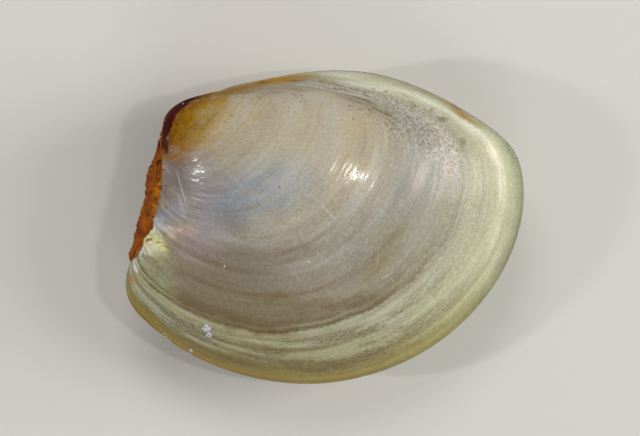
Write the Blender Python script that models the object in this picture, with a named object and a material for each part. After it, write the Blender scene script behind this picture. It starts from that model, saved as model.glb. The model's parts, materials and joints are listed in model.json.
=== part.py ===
# A nut clam shell, both valves closed, lying on its left valve.
# Each valve is grown as a real one is: its edge is a closed curve that shrinks towards the beak
# and turns about an axis through the beak, so every ring of the mesh is an older edge of the shell.
# World frame: +X to the long front end, +Y to the hinge, +Z up through the right valve.

import math

import bmesh
import bpy
import numpy as np
from mathutils import Matrix, Vector
from mathutils.bvhtree import BVHTree

MM = 0.001

# The valves' shared edge, seen square on, in millimetres from the middle of the shell.
# It runs from the hinge over the beak, down the blunt back end, along the belly and round the front.
EDGE_POINTS = [
    (-5.8, 6.6), (-6.9, 5.3), (-7.4, 4.2), (-7.65, 2.9), (-8.0, 1.5), (-8.45, 0.2), (-8.95, -1.1),
    (-9.65, -1.65), (-9.98, -2.6), (-9.8, -3.6), (-8.8, -4.8), (-7.4, -5.9), (-5.2, -7.0), (-2.8, -7.65),
    (-0.2, -7.8), (2.5, -7.3), (5.0, -6.2), (7.35, -4.3), (9.0, -2.0), (9.8, 0.2), (9.95, 2.1),
    (9.45, 3.9), (8.2, 5.1), (5.3, 6.8), (2.5, 7.75), (-0.7, 7.85), (-3.4, 7.4),
]

# How a valve grows, with the growth stage in radians turned back from today's edge.
BEAK = np.array([-7.0, 5.4])
COIL_AXIS_DEG = 41.5         # direction of the coiling axis in the plane between the valves
SHRINK = 0.97                # natural log of the shrinking per radian
RISE = 1.02                  # how far the rings rise from the plane between the valves
RISE_SHRINK = 1.25           # natural log of the loss of that rise per radian
RISE_LIMIT = 6.5             # mm, rounds off the highest part of the valve
INNER_RISE_LIMIT = 4.9       # mm, the same for the hollow, which thickens the wall there
HINGE_LIFT = 0.45            # mm, softness of the rise beside the hinge line
SHOULDER_RISE = 2.6          # mm, makes the valve steep and full beside the hinge line
SHOULDER_REACH = 1.3         # mm from the hinge line over which it does so
LEAN = np.array([-0.02, 0.156])    # sideways lean of the bulge, per mm of height
BEAK_DRIFT = np.array([-0.12, -0.7])   # mm, how the young beak lies off its axis
DRIFT_STAGES = (0.4, 2.0)    # stages between which the drift sets in
BACK_GROWTH = 0.24           # how much shorter the back end was when the shell was young
BACK_STAGES = (0.08, 0.8)    # stages between which that sets in
BACK_REACH = 5.0             # mm behind the beak over which that sets in

OUTER_STAGE_END = 2.95       # the beak's tip, curled under
INNER_STAGE_END = 1.55       # the deepest part of the hollow
OUTER_RINGS = 25
RING_CROWDING = 1.15         # above 1 sets the rings closer near today's edge
INNER_RINGS = 9
POINTS_AROUND = 64
SPLINE_STEP = 0.05           # share of a stretch between two edge points

# Shell wall.
LIP_WIDTH = 0.6              # mm, flat closing edge
HINGE_WIDTH = 1.2            # mm, thick hinge plate on each side of the beak
HINGE_REACH = 3.5            # mm along the edge over which the hinge plate thins out
INNER_BEAK_SHIFT = 0.6       # mm from the beak to the top of the hollow
SEAM = 0.06                  # mm between the two closed valves

# Rusty crust that fills the sunken area behind the beaks.
CRUST_TOP = (-7.35, 4.5)     # on the edge line, just behind the beaks
CRUST_END = (-9.1, -1.35)    # on the edge line, at the ledge of the last growth
CRUST_STATIONS = 22
CRUST_COLUMNS = 13           # odd, so that no column runs into the seam
CRUST_HALF_WIDTH = 1.55      # mm up each valve from the seam, where it is widest
CRUST_NARROW = 0.12          # share of that width left at a pointed end
CRUST_ARCH = (0.05, 0.77)    # part of a half turn of sine that its width follows, top to end
CRUST_GAP = 0.08             # mm between the crust and the shell
CRUST_RIM = 0.12             # mm thick at its borders
CRUST_THICKNESS = 0.14       # mm along most of its length
CRUST_HEAP = 1.1             # mm thicker in its upper half
CRUST_HEAP_AT = 0.3          # share of the way down
CRUST_HEAP_REACH = 0.33      # share of its length
CRUST_LUMPS = 0.08           # mm
CRUST_LONG_LUMPS = 9.0       # radians of lump over its length
CRUST_SHORT_LUMPS = 21.0
CRUST_SMOOTHINGS = 3
GROOVE_DEPTH = 0.2           # mm, along the seam
GROOVE_WIDTH = 0.16          # share of the half width
OUTSIDE = 4.0                # mm, surely clear of the shell

# How the closed pair lies on its left valve.
LEAN_DEG = 5.27
LEAN_TOWARDS_DEG = -58.7     # the way its upper side leans, from +X
REST_FLAT = 0.08             # mm rubbed off the underside where it touches

SHARP_EDGE_DEG = 50.0        # bends past this are shaded as edges


def closed_curve(points, count):
    """Even points on the smooth closed curve through the given ones."""
    knots = np.array(points, dtype=float)
    steps = np.linalg.norm(np.roll(knots, -1, axis=0) - knots, axis=1)
    size = len(knots)
    system = np.zeros((size, size))
    right_side = np.zeros((size, 2))
    for i in range(size):
        before = steps[i - 1]
        after = steps[i]
        system[i, i - 1] = before
        system[i, i] = 2.0 * (before + after)
        system[i, (i + 1) % size] = after
        rise_after = (knots[(i + 1) % size] - knots[i]) / after
        rise_before = (knots[i] - knots[i - 1]) / before
        right_side[i] = 6.0 * (rise_after - rise_before)
    bend = np.linalg.solve(system, right_side)
    fine = []
    for i in range(size):
        step = steps[i]
        nxt = (i + 1) % size
        for t in np.arange(0.0, 1.0, SPLINE_STEP):
            a = 1.0 - t
            point = a * knots[i] + t * knots[nxt]
            point = point + step ** 2 / 6.0 * ((a ** 3 - a) * bend[i] + (t ** 3 - t) * bend[nxt])
            fine.append(point)
    fine = np.array(fine + [fine[0]])
    length = np.concatenate([[0.0], np.cumsum(np.linalg.norm(np.diff(fine, axis=0), axis=1))])
    wanted = np.linspace(0.0, length[-1], count, endpoint=False)
    return np.column_stack([np.interp(wanted, length, fine[:, k]) for k in (0, 1)])


def smooth_step(value, start, end):
    t = np.clip((value - start) / (end - start), 0.0, 1.0)
    return t * t * (3.0 - 2.0 * t)


def growth_ring(edge, stage, beak, rise_limit):
    """The given edge as it was at an earlier stage, as x, y and height in millimetres."""
    angle = math.radians(COIL_AXIS_DEG)
    axis = np.array([math.cos(angle), math.sin(angle)])
    across = np.array([math.sin(angle), -math.cos(angle)])
    from_beak = edge - beak
    along = from_beak @ axis
    away = from_beak @ across
    shorter = BACK_GROWTH * smooth_step(stage, *BACK_STAGES) * smooth_step(-along, 0.0, BACK_REACH)
    along = along * (1.0 - shorter)
    size = math.exp(-SHRINK * stage)
    swell = HINGE_LIFT * np.logaddexp(0.0, away / HINGE_LIFT)
    swell = swell + SHOULDER_RISE * (1.0 - np.exp(-swell / SHOULDER_REACH))
    height = RISE * math.exp(-RISE_SHRINK * stage) * math.sin(stage) * swell
    height = rise_limit * np.tanh(height / rise_limit)
    flat = beak + size * (np.outer(along, axis) + math.cos(stage) * np.outer(away, across))
    flat = flat + np.outer(height, LEAN) + smooth_step(stage, *DRIFT_STAGES) * BEAK_DRIFT
    return np.column_stack([flat, height])


def inset_edge(edge):
    """The edge moved in by the closing lip, and by the wider hinge plate near the beak."""
    ahead = np.roll(edge, -1, axis=0) - np.roll(edge, 1, axis=0)
    ahead = ahead / np.linalg.norm(ahead, axis=1)[:, None]
    inward = np.column_stack([-ahead[:, 1], ahead[:, 0]])
    distance = np.linalg.norm(edge - BEAK, axis=1)
    width = LIP_WIDTH + (HINGE_WIDTH - LIP_WIDTH) * np.exp(-(distance / HINGE_REACH) ** 2)
    return edge + inward * width[:, None]


def extrude_rings(bm, start_verts, rings):
    """Extrudes the loop of verts through the rings and closes it at the middle of the last."""
    number = bm.verts.layers.int["around"]
    verts = start_verts
    for ring in rings:
        loop = set(verts)
        edges = [e for v in verts for e in v.link_edges if e.other_vert(v) in loop]
        made = bmesh.ops.extrude_edge_only(bm, edges=list(dict.fromkeys(edges)))["geom"]
        verts = [g for g in made if isinstance(g, bmesh.types.BMVert)]
        for vert in verts:
            vert.co = Vector(ring[vert[number]]) * MM
    middle = sum((v.co for v in verts), Vector()) / len(verts)
    bmesh.ops.pointmerge(bm, verts=verts, merge_co=middle)


def grow_valve(side):
    """One valve as a bmesh: side is 1 for the right valve and -1 for the left."""
    edge = closed_curve(EDGE_POINTS, POINTS_AROUND)
    inner_edge = inset_edge(edge)
    angle = math.radians(COIL_AXIS_DEG)
    inner_beak = BEAK + INNER_BEAK_SHIFT * np.array([math.sin(angle), -math.cos(angle)])
    lift = np.array([0.0, 0.0, SEAM / 2.0])
    mirror = np.array([1.0, 1.0, side])

    outer_stages = OUTER_STAGE_END * np.linspace(0.0, 1.0, OUTER_RINGS + 1) ** RING_CROWDING
    inner_stages = INNER_STAGE_END * np.linspace(0.0, 1.0, INNER_RINGS + 1)
    outer = [growth_ring(edge, s, BEAK, RISE_LIMIT) for s in outer_stages]
    inner = [growth_ring(inner_edge, s, inner_beak, INNER_RISE_LIMIT) for s in inner_stages]
    outer = [(ring + lift) * mirror for ring in outer]
    inner = [(ring + lift) * mirror for ring in inner]

    bm = bmesh.new()
    number = bm.verts.layers.int.new("around")
    start = bmesh.ops.create_circle(bm, segments=POINTS_AROUND, radius=MM)["verts"]
    for i, vert in enumerate(start):
        vert[number] = i
        vert.co = Vector(outer[0][i]) * MM
    extrude_rings(bm, start, outer[1:])
    extrude_rings(bm, start, inner)
    bmesh.ops.recalc_face_normals(bm, faces=bm.faces)
    return bm


def make_crust(valves):
    """A lumpy strip that fills the sunken area behind the beaks, laid on both valves."""
    shell = bmesh.new()
    for valve in valves:
        mesh = bpy.data.meshes.new("guide")
        valve.to_mesh(mesh)
        shell.from_mesh(mesh)
        bpy.data.meshes.remove(mesh)
    tree = BVHTree.FromBMesh(shell)
    shell.free()

    top = Vector((*CRUST_TOP, 0.0)) * MM
    end = Vector((*CRUST_END, 0.0)) * MM
    down = (end - top).normalized()
    inward = Vector((-down.y, down.x, 0.0))
    bm = bmesh.new()
    grid = bmesh.ops.create_grid(bm, x_segments=CRUST_STATIONS, y_segments=CRUST_COLUMNS, size=1.0)
    thickness = {}
    for vert in grid["verts"]:
        t = 0.5 * (vert.co.x + 1.0)
        s = vert.co.y
        taper = max(0.0, 1.0 - (2.0 * t - 1.0) ** 6) * max(0.0, 1.0 - s ** 4)
        arch = math.sin(math.pi * (CRUST_ARCH[0] + (CRUST_ARCH[1] - CRUST_ARCH[0]) * t))
        width = CRUST_HALF_WIDTH * (CRUST_NARROW + (1.0 - CRUST_NARROW) * arch)
        start = top + (end - top) * t - inward * OUTSIDE * MM
        start.z = s * width * MM
        hit = tree.ray_cast(start, inward)[0]
        lumps = CRUST_LUMPS * math.sin(CRUST_LONG_LUMPS * t + 1.0)
        lumps += 0.6 * CRUST_LUMPS * math.sin(CRUST_SHORT_LUMPS * t + 3.0 * s)
        heap = CRUST_HEAP * math.exp(-((t - CRUST_HEAP_AT) / CRUST_HEAP_REACH) ** 2)
        groove = GROOVE_DEPTH * math.exp(-(s / GROOVE_WIDTH) ** 2)
        body = CRUST_THICKNESS - CRUST_RIM + heap + lumps - groove
        thickness[vert] = (CRUST_RIM + max(0.0, body) * taper) * MM
        vert.co = hit - inward * CRUST_GAP * MM
    under = {tuple(v.co): v for v in thickness}
    made = bmesh.ops.extrude_face_region(bm, geom=list(bm.faces))["geom"]
    raised = {v: under[tuple(v.co)] for v in made if isinstance(v, bmesh.types.BMVert)}
    for vert, foot in raised.items():
        vert.co -= inward * thickness[foot]
    for _ in range(CRUST_SMOOTHINGS):
        bmesh.ops.smooth_vert(
            bm, verts=list(raised), factor=0.5, use_axis_x=True, use_axis_y=True, use_axis_z=True)
    for vert, foot in raised.items():
        depth = max(CRUST_RIM * MM, (foot.co - vert.co).dot(inward))
        vert.co = foot.co - inward * depth
    bmesh.ops.recalc_face_normals(bm, faces=bm.faces)
    return bm


def make_material(name, color, roughness, coat=0.0):
    material = bpy.data.materials.new(name)
    material.use_nodes = True
    finish = material.node_tree.nodes["Principled BSDF"]
    finish.inputs["Base Color"].default_value = (*color, 1.0)
    finish.inputs["Roughness"].default_value = roughness
    finish.inputs["Metallic"].default_value = 0.0
    finish.inputs["Coat Weight"].default_value = coat
    return material


def add_object(name, bm, material, parent):
    mesh = bpy.data.meshes.new(name)
    bm.to_mesh(mesh)
    mesh.shade_smooth()
    mesh.set_sharp_from_angle(angle=math.radians(SHARP_EDGE_DEG))
    mesh.materials.append(material)
    obj = bpy.data.objects.new(name, mesh)
    obj.parent = parent
    bpy.context.collection.objects.link(obj)
    return obj


def lay_down(pair_pose, objects):
    """Leans the closed pair as it rests and puts the middle of its underside at the origin."""
    towards = math.radians(LEAN_TOWARDS_DEG)
    tip_axis = Vector((-math.sin(towards), math.cos(towards), 0.0))
    lean = Matrix.Rotation(math.radians(LEAN_DEG), 4, tip_axis)
    vertices = [v for obj in objects for v in obj.data.vertices]
    rest = min((lean @ v.co).z for v in vertices) + REST_FLAT * MM
    for vertex in vertices:
        place = lean @ vertex.co
        if place.z < rest:
            vertex.co = lean.inverted() @ Vector((place.x, place.y, rest))
    points = np.array([lean @ v.co for v in vertices])
    low = points.min(axis=0)
    high = points.max(axis=0)
    shift = Vector((-(low[0] + high[0]) / 2.0, -(low[1] + high[1]) / 2.0, -low[2]))
    pair_pose.matrix_world = Matrix.Translation(shift) @ lean


def main():
    for obj in list(bpy.data.objects):
        bpy.data.objects.remove(obj, do_unlink=True)

    right = grow_valve(1.0)
    left = grow_valve(-1.0)
    crust = make_crust([right, left])

    pair_pose = bpy.data.objects.new("pair_pose", None)
    bpy.context.collection.objects.link(pair_pose)
    shell_finish = make_material("glossy_nacreous_shell", (0.50, 0.44, 0.34), 0.3, coat=0.3)
    under_finish = make_material("glossy_nacreous_shell_left", (0.50, 0.44, 0.34), 0.3, coat=0.3)
    crust_finish = make_material("rusty_iron_crust", (0.40, 0.13, 0.02), 0.8)
    objects = [
        add_object("right_valve", right, shell_finish, pair_pose),
        add_object("left_valve", left, under_finish, pair_pose),
        add_object("escutcheon_crust", crust, crust_finish, pair_pose),
    ]
    lay_down(pair_pose, objects)


main()
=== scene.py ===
# A closed nut clam shell lying on its left valve, with a rusty crust behind the beaks and some beach sand.
# Both valves are grown ring by ring, as the real ones are, so every line on them is an old edge of the shell.
import json
import math
import random
from types import SimpleNamespace

import bmesh
import bpy
import numpy as np
from mathutils import Matrix, Vector, noise
from mathutils.bvhtree import BVHTree

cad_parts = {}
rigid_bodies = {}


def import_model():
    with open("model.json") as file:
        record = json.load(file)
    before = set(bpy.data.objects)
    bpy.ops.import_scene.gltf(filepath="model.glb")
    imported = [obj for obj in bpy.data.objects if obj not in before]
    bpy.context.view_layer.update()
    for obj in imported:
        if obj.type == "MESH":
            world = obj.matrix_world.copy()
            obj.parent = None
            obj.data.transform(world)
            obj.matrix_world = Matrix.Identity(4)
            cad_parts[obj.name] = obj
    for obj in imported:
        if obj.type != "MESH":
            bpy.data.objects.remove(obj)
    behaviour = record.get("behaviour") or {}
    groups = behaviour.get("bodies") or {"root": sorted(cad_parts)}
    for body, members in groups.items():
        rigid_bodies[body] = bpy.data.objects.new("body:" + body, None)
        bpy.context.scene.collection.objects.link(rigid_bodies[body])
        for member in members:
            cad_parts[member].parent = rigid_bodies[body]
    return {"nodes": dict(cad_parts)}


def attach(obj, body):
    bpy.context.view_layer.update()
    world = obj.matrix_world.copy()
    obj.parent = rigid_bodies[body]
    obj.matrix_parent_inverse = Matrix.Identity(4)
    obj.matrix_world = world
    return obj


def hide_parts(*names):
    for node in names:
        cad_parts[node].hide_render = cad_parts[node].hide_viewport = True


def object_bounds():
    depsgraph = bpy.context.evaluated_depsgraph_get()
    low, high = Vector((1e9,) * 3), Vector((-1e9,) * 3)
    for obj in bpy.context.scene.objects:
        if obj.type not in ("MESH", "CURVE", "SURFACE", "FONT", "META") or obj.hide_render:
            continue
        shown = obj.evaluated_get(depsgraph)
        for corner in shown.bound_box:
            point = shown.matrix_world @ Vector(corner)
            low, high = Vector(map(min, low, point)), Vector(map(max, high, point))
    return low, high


mm = 0.001

for leftover in list(bpy.data.objects):
    bpy.data.objects.remove(leftover, do_unlink=True)
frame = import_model()
cadLow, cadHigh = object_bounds()
print("frame loaded:", ", ".join(sorted(frame["nodes"])))


# shared helpers

def toLinear(hexColor):  # "#rrggbb" as written to the numbers that Blender works in
    parts = [int(hexColor[i:i + 2], 16) / 255.0 for i in (1, 3, 5)]
    return tuple(c / 12.92 if c <= 0.04045 else ((c + 0.055) / 1.055) ** 2.4 for c in parts) + (1.0,)


def smoothStep(value, start, end):
    t = np.clip((value - start) / (end - start), 0.0, 1.0)
    return t * t * (3.0 - 2.0 * t)


def bell(value, middle, width):
    return np.exp(-((value - middle) / width) ** 2)


# kinds of node with their settings, as addNode takes them
multiply = ("ShaderNodeMath", {"operation": "MULTIPLY"})
add = ("ShaderNodeMath", {"operation": "ADD"})
subtract = ("ShaderNodeMath", {"operation": "SUBTRACT"})
divide = ("ShaderNodeMath", {"operation": "DIVIDE"})
power = ("ShaderNodeMath", {"operation": "POWER"})
exponent = ("ShaderNodeMath", {"operation": "EXPONENT"})
absolute = ("ShaderNodeMath", {"operation": "ABSOLUTE"})
larger = ("ShaderNodeMath", {"operation": "MAXIMUM"})
ease = ("ShaderNodeMapRange", {"interpolation_type": "SMOOTHSTEP"})
mix = ("ShaderNodeMixRGB", {"blend_type": "MIX"})
tint = ("ShaderNodeMixRGB", {"blend_type": "MULTIPLY"})
speckle = ("ShaderNodeTexNoise", {"noise_dimensions": "3D"})
stretch = ("ShaderNodeMapping", {"vector_type": "POINT"})
placeIn = ("ShaderNodeMapping", {"vector_type": "TEXTURE"})
vectorAdd = ("ShaderNodeVectorMath", {"operation": "ADD"})
vectorSubtract = ("ShaderNodeVectorMath", {"operation": "SUBTRACT"})
vectorScale = ("ShaderNodeVectorMath", {"operation": "SCALE"})
ball = ("ShaderNodeTexGradient", {"gradient_type": "SPHERICAL"})
colorRamp = ("ShaderNodeValToRGB", {})
grey = ("ShaderNodeCombineColor", {})
combine = ("ShaderNodeCombineXYZ", {})
separate = ("ShaderNodeSeparateXYZ", {})
coordinates = ("ShaderNodeTexCoord", {})
bumps = ("ShaderNodeBump", {})


def addNode(tree, recipe, *inputs, output=0, **named):  # inputs in order or by name; a socket is linked
    kind, settings = recipe
    made = tree.nodes.new(kind)
    for setting, value in settings.items():
        setattr(made, setting, value)
    for key, value in [*enumerate(inputs), *named.items()]:
        if isinstance(value, bpy.types.NodeSocket):
            tree.links.new(value, made.inputs[key])
        else:
            made.inputs[key].default_value = value
    return made.outputs[output]


def setStops(rampColor, stops):  # fills in the ramp that the socket belongs to
    elements = rampColor.node.color_ramp.elements
    while len(elements) > 1:
        elements.remove(elements[-1])
    elements[0].position, elements[0].color = stops[0]
    for where, color in stops[1:]:
        elements.new(where).color = color
    return rampColor


def between(tree, value, rise, full, fading, gone):  # 0, up to 1, and down to 0 again
    rising = addNode(tree, ease, value, rise, full)
    return addNode(tree, multiply, rising, addNode(tree, ease, value, gone, fading))


def hairs(tree, place, degrees, length, width, low, high):  # fine streaks in one direction, sizes in mm
    size = (length * mm, width * mm, length * mm)
    along = addNode(tree, placeIn, place, Rotation=(0.0, 0.0, math.radians(degrees)), Scale=size)
    return addNode(tree, ease, addNode(tree, speckle, along, Scale=1.0), low, high)


def greyShade(tree, value, fromMin, fromMax, toMin, toMax):
    level = addNode(tree, ease, value, fromMin, fromMax, toMin, toMax)
    return addNode(tree, grey, level, level, level)


def wanderPlace(tree, place, scale, reach):  # the same place, pushed about so that borders are uneven
    drift = addNode(tree, speckle, place, Scale=scale, Detail=4.0, output="Color")
    around = addNode(tree, vectorSubtract, drift, (0.5, 0.5, 0.5))
    return addNode(tree, vectorAdd, place, addNode(tree, vectorScale, around, Scale=reach * mm))


def patchShare(tree, place, patch, soft=1.35, full=0.35):  # 1 in the middle, fading to 0 past its edge
    x, y, halfLength, halfWidth, degrees = patch[:5]
    size = (halfLength * soft * mm, halfWidth * soft * mm, 1.0)
    turned = (0.0, 0.0, math.radians(degrees))
    local = addNode(tree, placeIn, place, Location=(x * mm, y * mm, 0.0), Rotation=turned, Scale=size)
    return addNode(tree, ease, addNode(tree, ball, local, output="Fac"), 0.0, 1.0 - full / soft)


def paintPatches(tree, color, patches, place, fade, evenness=None):
    for patch in patches:
        strength = addNode(tree, multiply, patchShare(tree, place, patch, *fade), patch[6])
        if evenness is not None:
            strength = addNode(tree, multiply, strength, evenness)
        color = addNode(tree, mix, strength, color, toLinear(patch[5]))
    return color


def settleFaces(bm):  # operators give faces in an order that varies from run to run, so it is set here
    bm.verts.index_update()
    size = len(bm.verts)

    def rank(face):
        first, second, third = sorted(vert.index for vert in face.verts)[:3]
        return first * size + second + third / size

    bm.faces.sort(key=rank)
    bm.faces.index_update()


def newMaterial(name):
    material = bpy.data.materials.new(name)
    material.use_nodes = True
    tree = material.node_tree
    return material, tree, tree.nodes["Principled BSDF"]


def newPiece(name, bm, materials, nodes=()):
    mesh = bpy.data.meshes.new(name)
    bm.to_mesh(mesh)
    bm.free()
    mesh.shade_smooth()
    mesh.set_sharp_from_angle(angle=math.radians(60.0))
    for material in materials:
        mesh.materials.append(material)
    piece = bpy.data.objects.new(name, mesh)
    bpy.context.collection.objects.link(piece)
    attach(piece, "root")
    if nodes:
        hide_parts(*nodes)
    print("piece made:", name, len(mesh.polygons), "faces")
    return piece


# how a valve grows

growth = {
    # today's edge of the shell in mm, from the hinge over the beak, down the blunt back end, round the belly
    "edge": [
        (-5.8, 6.6), (-6.9, 5.3), (-7.4, 4.2), (-7.65, 2.9), (-8.0, 1.5), (-8.45, 0.2), (-8.95, -1.1),
        (-9.65, -1.65), (-9.98, -2.6), (-9.8, -3.6), (-8.8, -4.8), (-7.4, -5.9), (-5.2, -7.0), (-2.8, -7.65),
        (-0.2, -7.8), (2.5, -7.3), (5.0, -6.2), (7.35, -4.3), (9.0, -2.0), (9.8, 0.2), (9.95, 2.1),
        (9.45, 3.9), (8.2, 5.1), (5.3, 6.8), (2.5, 7.75), (-0.7, 7.85), (-3.4, 7.4),
    ],
    "beak": (-7.0, 5.4),
    "coilAxisDeg": 41.5,
    "shrink": 0.97,            # natural log of the shrinking per radian of growth
    "rise": 1.02,
    "riseShrink": 1.25,
    "riseLimit": 6.5,          # mm
    "innerRiseLimit": 4.9,
    "hingeLift": 0.45,
    "shoulderRise": 2.6,
    "shoulderReach": 1.3,
    "lean": (-0.02, 0.156),
    "beakDrift": (-0.12, -0.7),
    "driftStages": (0.4, 2.0),
    "backGrowth": 0.24,
    "backStages": (0.08, 0.8),
    "backReach": 5.0,
    "outerEnd": 2.95,          # radians, where the beak's tip curls under
    "innerEnd": 1.55,
    "lip": 0.6,                # mm, flat closing edge
    "hinge": 1.2,
    "hingeReach": 3.5,
    "innerBeakShift": 0.6,
    "seam": 0.06,              # mm between the closed valves
    "around": 300,
    "outerRings": 300,
    "innerRings": 14,
    "leanDeg": 5.27,           # how the closed pair lies
    "leanTowardsDeg": -58.7,
}

relief = {
    "checks": [  # stage in radians, depth in mm, width in radians: where growth paused
        (0.187, 0.026, 0.0060), (0.120, 0.005, 0.0050), (0.245, 0.005, 0.0070), (0.330, 0.008, 0.0080),
        (0.430, 0.006, 0.0080), (0.510, 0.007, 0.0090), (0.650, 0.007, 0.0100), (0.740, 0.006, 0.0100),
        (0.830, 0.007, 0.0120), (1.160, 0.008, 0.0150), (0.060, 0.004, 0.0050), (0.025, 0.005, 0.0050),
    ],
    "step": 0.016,             # mm that the shell inside the main check stands higher
    "waves": [(0.043, 0.0009), (0.029, 0.0007), (0.021, 0.0005), (0.071, 0.0016)],  # period rad, height mm
    "fullSpacing": 14.0,       # mm per radian; closer rings have lower relief
    "dents": 0.014,            # mm, long soft unevenness
    "dentSize": 3.2,           # mm
    "chip": 0.05,              # mm, nibbled edge
    "shoulder": 0.045,         # mm, rounded ridge along the front edge
    "shoulderAt": (0.745, 0.085, 0.068, 0.020),  # middle and reach in turns, then in radians
    "widening": (1.1, 0.835, 0.042, 0.8),      # of the last growth: share, middle and reach in turns, radians
    "pauseShift": (0.016, 0.030),  # radians the main pause is nearer the edge, less this at the front
}


def closedCurve(points, count):  # even points on the smooth closed curve through the given ones
    knots = np.array(points, dtype=float)
    steps = np.linalg.norm(np.roll(knots, -1, axis=0) - knots, axis=1)
    size = len(knots)
    system = np.zeros((size, size))
    rightSide = np.zeros((size, 2))
    for i in range(size):
        before, after = steps[i - 1], steps[i]
        system[i, i - 1] = before
        system[i, i] = 2.0 * (before + after)
        system[i, (i + 1) % size] = after
        rightSide[i] = 6.0 * ((knots[(i + 1) % size] - knots[i]) / after - (knots[i] - knots[i - 1]) / before)
    bend = np.linalg.solve(system, rightSide)
    fine = []
    for i in range(size):
        nxt = (i + 1) % size
        for t in np.arange(0.0, 1.0, 0.05):
            a = 1.0 - t
            bow = steps[i] ** 2 / 6.0 * ((a ** 3 - a) * bend[i] + (t ** 3 - t) * bend[nxt])
            fine.append(a * knots[i] + t * knots[nxt] + bow)
    fine = np.array(fine + [fine[0]])
    length = np.concatenate([[0.0], np.cumsum(np.linalg.norm(np.diff(fine, axis=0), axis=1))])
    wanted = np.linspace(0.0, length[-1], count, endpoint=False)
    return np.column_stack([np.interp(wanted, length, fine[:, k]) for k in (0, 1)])


def growthRing(edge, stage, beak, riseLimit):  # the edge as it was at an earlier stage
    angle = math.radians(growth["coilAxisDeg"])
    axis = np.array([math.cos(angle), math.sin(angle)])
    across = np.array([math.sin(angle), -math.cos(angle)])
    along = (edge - beak) @ axis
    away = (edge - beak) @ across
    young = smoothStep(stage, *growth["backStages"]) * smoothStep(-along, 0.0, growth["backReach"])
    along = along * (1.0 - growth["backGrowth"] * young)
    swell = growth["hingeLift"] * np.logaddexp(0.0, away / growth["hingeLift"])
    swell = swell + growth["shoulderRise"] * (1.0 - np.exp(-swell / growth["shoulderReach"]))
    height = growth["rise"] * math.exp(-growth["riseShrink"] * stage) * math.sin(stage) * swell
    height = riseLimit * np.tanh(height / riseLimit)
    size = math.exp(-growth["shrink"] * stage)
    flat = beak + size * (np.outer(along, axis) + math.cos(stage) * np.outer(away, across))
    drift = smoothStep(stage, *growth["driftStages"]) * np.array(growth["beakDrift"])
    return np.column_stack([flat + np.outer(height, growth["lean"]) + drift, height])


def insetEdge(edge, beak):  # the inner edge of the closing lip, wider at the hinge plate
    ahead = np.roll(edge, -1, axis=0) - np.roll(edge, 1, axis=0)
    ahead = ahead / np.linalg.norm(ahead, axis=1)[:, None]
    inward = np.column_stack([-ahead[:, 1], ahead[:, 0]])
    near = bell(np.linalg.norm(edge - beak, axis=1), 0.0, growth["hingeReach"])
    width = growth["lip"] + (growth["hinge"] - growth["lip"]) * near
    return edge + inward * width[:, None]


def growthStages():  # crowded so that the rings lie evenly on the shell
    share = np.linspace(0.0, 1.0, growth["outerRings"] + 1)
    smallest = math.exp(-growth["shrink"] * growth["outerEnd"])
    return -np.log(1.0 - share * (1.0 - smallest)) / growth["shrink"]


def patternStages(stages, turns):  # the last growth is wider at the front of the hinge, a bit narrower behind
    most, middle, reach, fade = relief["widening"]
    widening = most * bell(turns[None, :], middle, reach) * np.exp(-stages[:, None] / fade)
    later, earlier = relief["pauseShift"]
    early = later - earlier * (smoothStep(turns, 0.20, 0.46) - smoothStep(turns, 0.82, 0.98))
    return stages[:, None] / (1.0 + widening) + early[None, :] * bell(stages, 0.19, 0.10)[:, None]


def ringSpacing(points, stages):  # share of the widest spacing between growth lines
    spacing = np.linalg.norm(np.gradient(points, stages, axis=0), axis=2)
    return np.clip(spacing * np.exp(growth["shrink"] * stages)[:, None] / relief["fullSpacing"], 0.0, 1.0)


def surfaceRelief(points, stages, turns, seed):  # mm that the surface stands out from the plain grown form
    w = patternStages(stages, turns)
    calm = ringSpacing(points, stages) ** 1.5 * np.exp(-0.5 * stages)[:, None]
    evenly = (1.0 - np.exp(-growth["shrink"] * w)) / growth["shrink"]
    height = relief["step"] * smoothStep(w, 0.187, 0.215)
    for middle, depth, width in relief["checks"]:
        height = height - depth * bell(w, middle, width)
    for k, (period, tall) in enumerate(relief["waves"]):
        wander = 0.9 * np.sin(2.0 * math.pi * (turns * (2 + k) + 0.31 * seed))
        height = height + tall * np.sin(2.0 * math.pi * evenly / period + wander[None, :] + k + seed)
    height = height * calm * (1.0 - 0.6 * smoothStep(turns, 0.48, 0.62))[None, :]
    turn, reach, stage, width = relief["shoulderAt"]
    height = height + relief["shoulder"] * bell(turns, turn, reach)[None, :] * bell(w, stage, width)
    flat = points.reshape(-1, 3) / relief["dentSize"]
    dents = np.array([noise.noise(Vector(p) + Vector((seed * 7.3, 0.0, 0.0))) for p in flat])
    height = height + relief["dents"] * dents.reshape(w.shape)
    return height * smoothStep(stages, 0.0, 0.012)[:, None]


def outerSurface(side, seed):  # rings by points around, in mm, in the plane of the seam
    edge = closedCurve(growth["edge"], growth["around"])
    beak = np.array(growth["beak"])
    stages = growthStages()
    turns = np.arange(growth["around"]) / growth["around"]
    points = np.array([growthRing(edge, stage, beak, growth["riseLimit"]) for stage in stages])
    spacing = ringSpacing(points, stages)
    outward = np.cross(np.gradient(points, axis=0), np.roll(points, -1, axis=1) - np.roll(points, 1, axis=1))
    outward = outward / (np.linalg.norm(outward, axis=2)[..., None] + 1e-9)
    if outward[20, growth["around"] // 2, 2] < 0.0:
        outward = -outward
    points = points + outward * surfaceRelief(points, stages, turns, seed)[..., None]
    nibbled = np.array([noise.noise(Vector((x * 2.6 + seed, y * 2.6, 0.0))) for x, y in edge])
    nibble = relief["chip"] * np.clip(nibbled - 0.25, 0.0, 1.0)
    inward = -outward[1] * np.array([1.0, 1.0, 0.0])
    points = points + (inward * nibble[:, None])[None, :, :] * np.exp(-stages / 0.01)[:, None, None]
    points[..., 2] += growth["seam"] / 2.0
    return points * np.array([1.0, 1.0, side]), patternStages(stages, turns), spacing


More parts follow.
